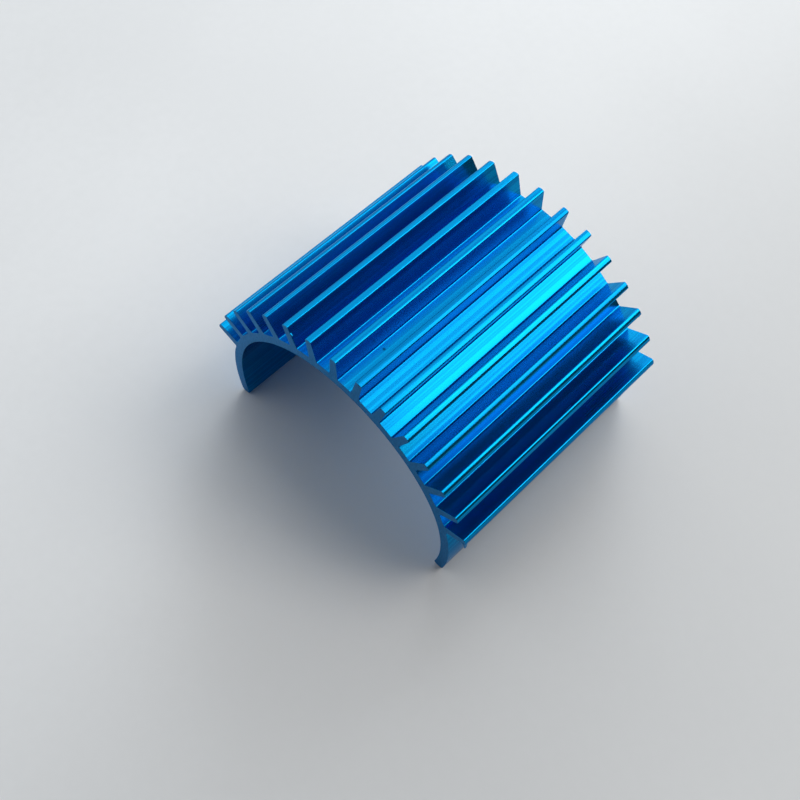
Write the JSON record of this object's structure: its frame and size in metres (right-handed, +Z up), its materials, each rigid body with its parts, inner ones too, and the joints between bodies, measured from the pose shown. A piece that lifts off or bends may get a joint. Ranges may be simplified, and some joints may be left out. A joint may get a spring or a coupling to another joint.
{
  "type": "clip-on finned motor heat sink",
  "caption": "Blue anodised aluminium sleeve, open underneath, that clips over a round motor can and cools it with straight radial fins.",
  "frame": {"origin": "on the bore's axis, halfway along the sleeve", "axes": "+Y along the bore, +Z up through the crown, and the open side faces -Z"},
  "size_m": [0.0432, 0.0354, 0.028],
  "materials": {
    "blue_anodised": "bright blue anodised, extruded, with sawn ends"
  },
  "bodies": {
    "root": {"finned_sleeve": "blue_anodised"}
  },
  "joints": []
}
